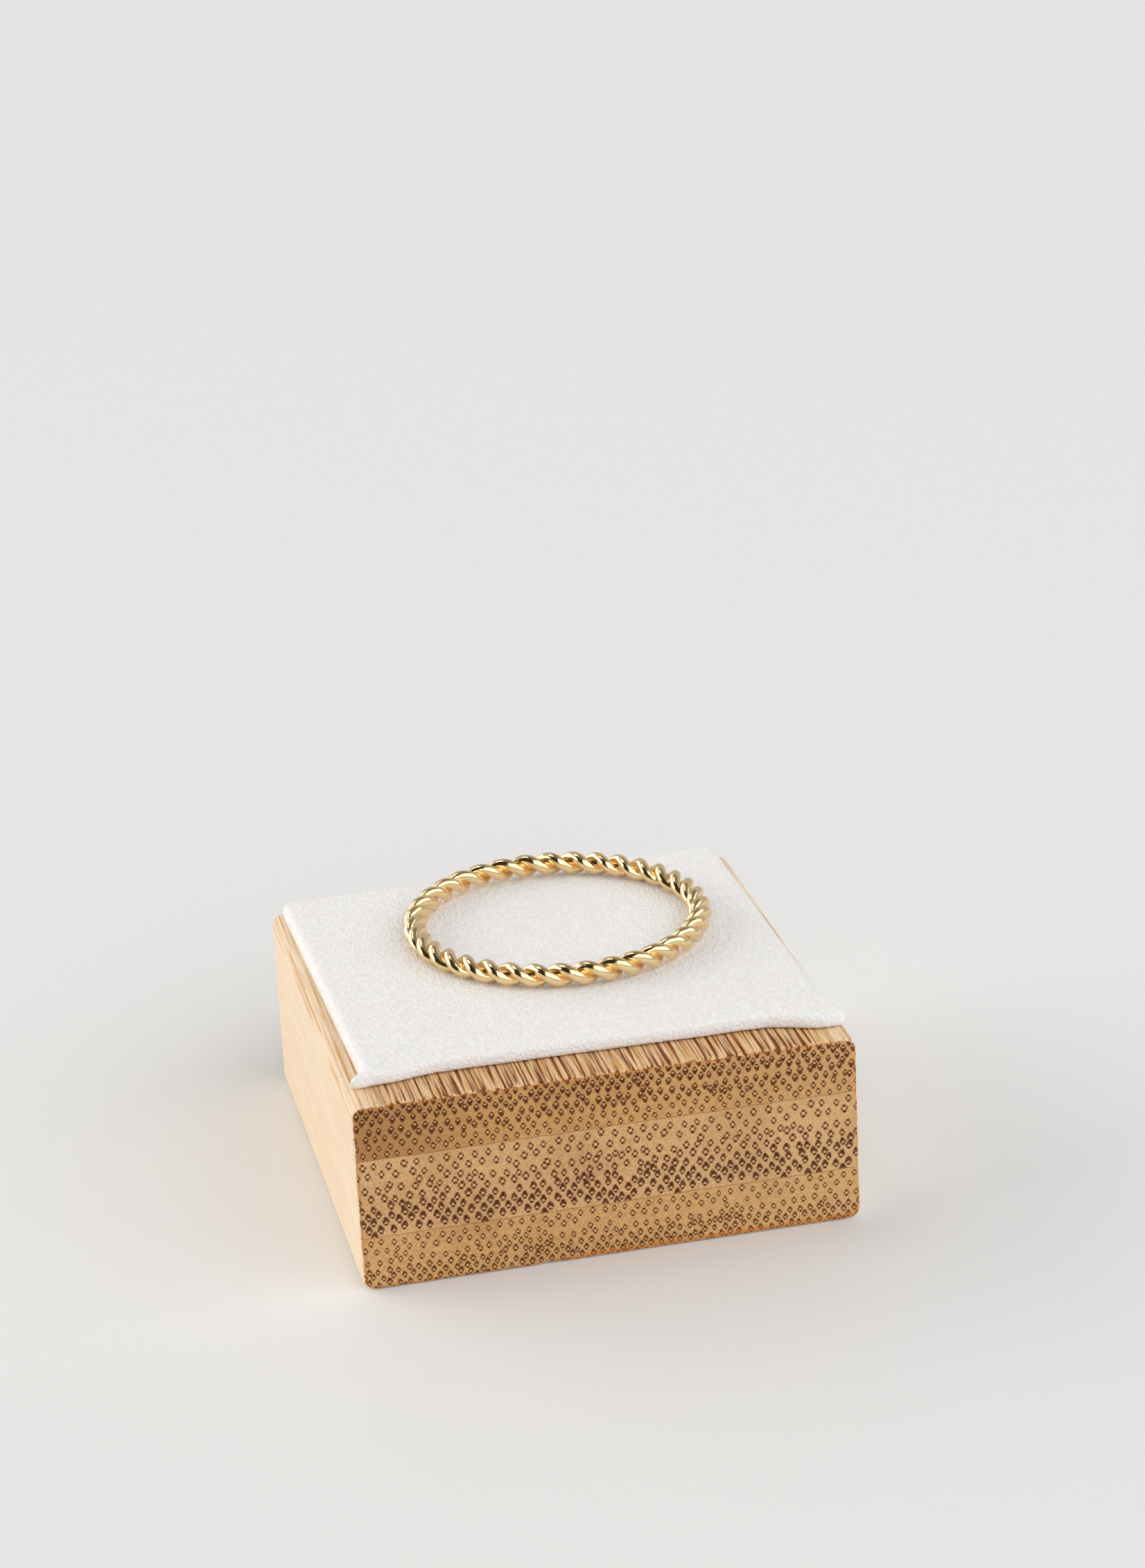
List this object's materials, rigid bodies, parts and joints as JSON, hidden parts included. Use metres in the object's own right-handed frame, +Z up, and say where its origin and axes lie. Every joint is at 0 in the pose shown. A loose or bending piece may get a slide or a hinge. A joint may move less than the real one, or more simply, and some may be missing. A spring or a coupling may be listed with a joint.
{
  "type": "stackable rope ring on a display block",
  "caption": "Twisted two-strand rope ring of gold, lying on a bamboo display block with a white leatherette pad.",
  "frame": {"origin": "middle of the block's underside, on the surface that the block stands on", "axes": "+Z up through the finger hole's direction, front of the block faces -Y, +X to the right seen from the front"},
  "size_m": [0.035, 0.035, 0.0166],
  "materials": {
    "polished_gold": "polished yellow gold plate",
    "white_leatherette": "fine pebble grain, matte",
    "laminated_bamboo": "sanded, unvarnished bamboo, end grain at the front and back"
  },
  "bodies": {
    "root": {"rope_ring": "polished_gold", "leatherette_pad": "white_leatherette", "bamboo_block": "laminated_bamboo"}
  },
  "joints": []
}
